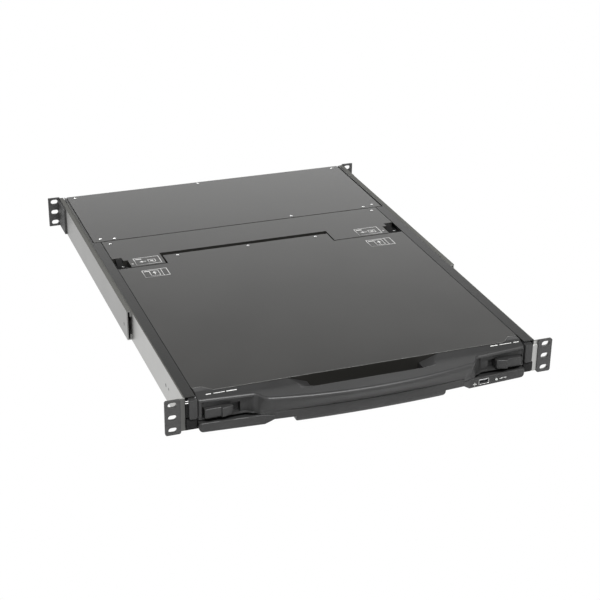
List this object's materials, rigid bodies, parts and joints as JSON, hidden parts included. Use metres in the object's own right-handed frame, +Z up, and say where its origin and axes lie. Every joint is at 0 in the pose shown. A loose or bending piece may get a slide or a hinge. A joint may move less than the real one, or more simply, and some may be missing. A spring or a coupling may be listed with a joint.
{
  "type": "rackmount lcd console drawer",
  "caption": "One-unit rack drawer with a lift-up screen lid and a keyboard tray on separate ball slides, slotted front ears and adjustable rear brackets.",
  "frame": {"origin": "middle of the front rack holes, on the front face of the front ears", "axes": "+X to the right seen from the front, +Y into the rack, +Z up"},
  "size_m": [0.4826, 0.6795, 0.0436],
  "materials": {
    "black_paint": "satin black powder coat",
    "black_screw": "blackened steel",
    "galvanised": "galvanised sheet",
    "zinc_steel": "zinc-plated steel",
    "circuit_board": "green solder mask",
    "black_plastic": "fine-textured moulded plastic",
    "bezel_plastic": "dark grey moulded plastic",
    "screen": "dark screen",
    "lens": "clear light pipe, unlit",
    "membrane": "printed film",
    "key_plastic": "fine-textured keycap"
  },
  "bodies": {
    "chassis": {"chassis_tray": "black_paint", "rear_cover": "black_paint", "rear_panel": "black_paint", "cover_screws": "black_screw", "side_rail_left": "galvanised", "side_rail_right": "galvanised", "front_ear_left": "black_paint", "front_ear_right": "black_paint", "slide_outer_left": "zinc_steel", "slide_outer_right": "zinc_steel", "main_board": "circuit_board", "power_supply": "galvanised", "rear_ports": "black_plastic", "power_inlet": "black_plastic"},
    "rear_mount_left": {"rear_bracket_left": "galvanised", "rear_ear_left": "black_paint"},
    "rear_mount_right": {"rear_bracket_right": "galvanised", "rear_ear_right": "black_paint"},
    "switch_rocker": {"power_switch": "black_plastic"},
    "lcd_balls_left": {"lcd_cage_left": "zinc_steel"},
    "lcd_balls_right": {"lcd_cage_right": "zinc_steel"},
    "keyboard_balls_left": {"keyboard_cage_left": "zinc_steel"},
    "keyboard_balls_right": {"keyboard_cage_right": "zinc_steel"},
    "lcd_carriage": {"lcd_slide_left": "zinc_steel", "lcd_slide_right": "zinc_steel", "hinge_cover": "black_paint", "hinge_bracket_left": "zinc_steel", "hinge_bracket_right": "zinc_steel"},
    "rear_release_left": {"rear_catch_left": "black_plastic"},
    "rear_release_right": {"rear_catch_right": "black_plastic"},
    "lcd_lid": {"lcd_back_cover": "black_paint", "handle_bezel": "bezel_plastic", "lcd_front_frame": "bezel_plastic", "lcd_panel": "screen", "hinge_arm_left": "zinc_steel", "hinge_arm_right": "zinc_steel", "lcd_driver_board": "circuit_board"},
    "finger_latch_left": {"front_latch_left": "bezel_plastic"},
    "finger_latch_right": {"front_latch_right": "bezel_plastic"},
    "screen_button_1": {"osd_button_1": "black_plastic"},
    "screen_button_2": {"osd_button_2": "black_plastic"},
    "screen_button_3": {"osd_button_3": "black_plastic"},
    "screen_button_4": {"osd_button_4": "black_plastic"},
    "keyboard_module": {"keyboard_tray": "black_paint", "keyboard_deck": "black_plastic", "lower_bezel": "bezel_plastic", "usb_port": "zinc_steel", "status_light": "lens", "touchpad": "black_plastic", "keyboard_slide_left": "zinc_steel", "keyboard_slide_right": "zinc_steel", "key_board": "membrane"},
    "click_left": {"touchpad_button_left": "black_plastic"},
    "click_right": {"touchpad_button_right": "black_plastic"},
    "typing_block": {"typing_keys": "key_plastic"},
    "navigation_block": {"navigation_keys": "key_plastic"},
    "number_block": {"number_pad_keys": "key_plastic"},
    "space_key": {"space_bar": "key_plastic"},
    "side_release_left": {"keyboard_catch_left": "black_plastic"},
    "side_release_right": {"keyboard_catch_right": "black_plastic"}
  },
  "joints": [
    {"name": "lcd_module_slide", "type": "slide", "parent": "chassis", "child": "lcd_carriage", "axis": [0, -1, 0], "range_m": [0, 0.43]},
    {"name": "keyboard_module_slide", "type": "slide", "parent": "chassis", "child": "keyboard_module", "axis": [0, -1, 0], "range_m": [0, 0.43]},
    {"name": "lid_hinge", "type": "hinge", "parent": "lcd_carriage", "child": "lcd_lid", "pos_m": [0, 0.383, 0.015], "axis": [-1, 0, 0], "range_deg": [0, 105]},
    {"name": "power_switch_rock", "type": "hinge", "parent": "chassis", "child": "switch_rocker", "pos_m": [0.122, 0.638, -0.002], "axis": [1, 0, 0], "range_deg": [-8, 8]},
    {"name": "rear_mount_left_slide", "type": "slide", "parent": "chassis", "child": "rear_mount_left", "axis": [0, 1, 0], "range_m": [-0.1, 0.2]},
    {"name": "lcd_cage_left_run", "type": "slide", "parent": "chassis", "child": "lcd_balls_left", "axis": [0, -1, 0], "range_m": [0, 0.215]},
    {"name": "keyboard_cage_left_run", "type": "slide", "parent": "chassis", "child": "keyboard_balls_left", "axis": [0, -1, 0], "range_m": [0, 0.215]},
    {"name": "rear_release_left_push", "type": "slide", "parent": "lcd_carriage", "child": "rear_release_left", "axis": [0, -1, 0], "range_m": [0, 0.006], "stiffness_N_per_m": 500, "springref_m": -0.004},
    {"name": "finger_latch_left_pull", "type": "slide", "parent": "lcd_lid", "child": "finger_latch_left", "axis": [1, 0, 0], "range_m": [0, 0.009], "stiffness_N_per_m": 400, "springref_m": -0.005},
    {"name": "click_left_press", "type": "slide", "parent": "keyboard_module", "child": "click_left", "axis": [0, 0, -1], "range_m": [0, 0.0008], "stiffness_N_per_m": 600, "springref_m": -0.001},
    {"name": "side_release_left_push", "type": "slide", "parent": "keyboard_module", "child": "side_release_left", "axis": [0, 1, 0], "range_m": [0, 0.005], "stiffness_N_per_m": 400, "springref_m": -0.004},
    {"name": "rear_mount_right_slide", "type": "slide", "parent": "chassis", "child": "rear_mount_right", "axis": [0, 1, 0], "range_m": [-0.1, 0.2]},
    {"name": "lcd_cage_right_run", "type": "slide", "parent": "chassis", "child": "lcd_balls_right", "axis": [0, -1, 0], "range_m": [0, 0.215]},
    {"name": "keyboard_cage_right_run", "type": "slide", "parent": "chassis", "child": "keyboard_balls_right", "axis": [0, -1, 0], "range_m": [0, 0.215]},
    {"name": "rear_release_right_push", "type": "slide", "parent": "lcd_carriage", "child": "rear_release_right", "axis": [0, -1, 0], "range_m": [0, 0.006], "stiffness_N_per_m": 500, "springref_m": -0.004},
    {"name": "finger_latch_right_pull", "type": "slide", "parent": "lcd_lid", "child": "finger_latch_right", "axis": [-1, 0, 0], "range_m": [0, 0.009], "stiffness_N_per_m": 400, "springref_m": -0.005},
    {"name": "click_right_press", "type": "slide", "parent": "keyboard_module", "child": "click_right", "axis": [0, 0, -1], "range_m": [0, 0.0008], "stiffness_N_per_m": 600, "springref_m": -0.001},
    {"name": "side_release_right_push", "type": "slide", "parent": "keyboard_module", "child": "side_release_right", "axis": [0, 1, 0], "range_m": [0, 0.005], "stiffness_N_per_m": 400, "springref_m": -0.004},
    {"name": "screen_button_1_press", "type": "slide", "parent": "lcd_lid", "child": "screen_button_1", "axis": [0, 0, 1], "range_m": [0, 0.0006], "stiffness_N_per_m": 600, "springref_m": -0.001},
    {"name": "screen_button_2_press", "type": "slide", "parent": "lcd_lid", "child": "screen_button_2", "axis": [0, 0, 1], "range_m": [0, 0.0006], "stiffness_N_per_m": 600, "springref_m": -0.001},
    {"name": "screen_button_3_press", "type": "slide", "parent": "lcd_lid", "child": "screen_button_3", "axis": [0, 0, 1], "range_m": [0, 0.0006], "stiffness_N_per_m": 600, "springref_m": -0.001},
    {"name": "screen_button_4_press", "type": "slide", "parent": "lcd_lid", "child": "screen_button_4", "axis": [0, 0, 1], "range_m": [0, 0.0006], "stiffness_N_per_m": 600, "springref_m": -0.001},
    {"name": "typing_block_press", "type": "slide", "parent": "keyboard_module", "child": "typing_block", "axis": [0, 0, -1], "range_m": [0, 0.002], "stiffness_N_per_m": 1500, "springref_m": -0.002},
    {"name": "navigation_block_press", "type": "slide", "parent": "keyboard_module", "child": "navigation_block", "axis": [0, 0, -1], "range_m": [0, 0.002], "stiffness_N_per_m": 800, "springref_m": -0.002},
    {"name": "number_block_press", "type": "slide", "parent": "keyboard_module", "child": "number_block", "axis": [0, 0, -1], "range_m": [0, 0.002], "stiffness_N_per_m": 800, "springref_m": -0.002},
    {"name": "space_key_press", "type": "slide", "parent": "keyboard_module", "child": "space_key", "axis": [0, 0, -1], "range_m": [0, 0.002], "stiffness_N_per_m": 500, "springref_m": -0.002}
  ],
  "couplings": [
    {"joint": "lcd_cage_left_run", "follows": "lcd_module_slide", "ratio": 0.5},
    {"joint": "keyboard_cage_left_run", "follows": "keyboard_module_slide", "ratio": 0.5},
    {"joint": "lcd_cage_right_run", "follows": "lcd_module_slide", "ratio": 0.5},
    {"joint": "keyboard_cage_right_run", "follows": "keyboard_module_slide", "ratio": 0.5}
  ]
}
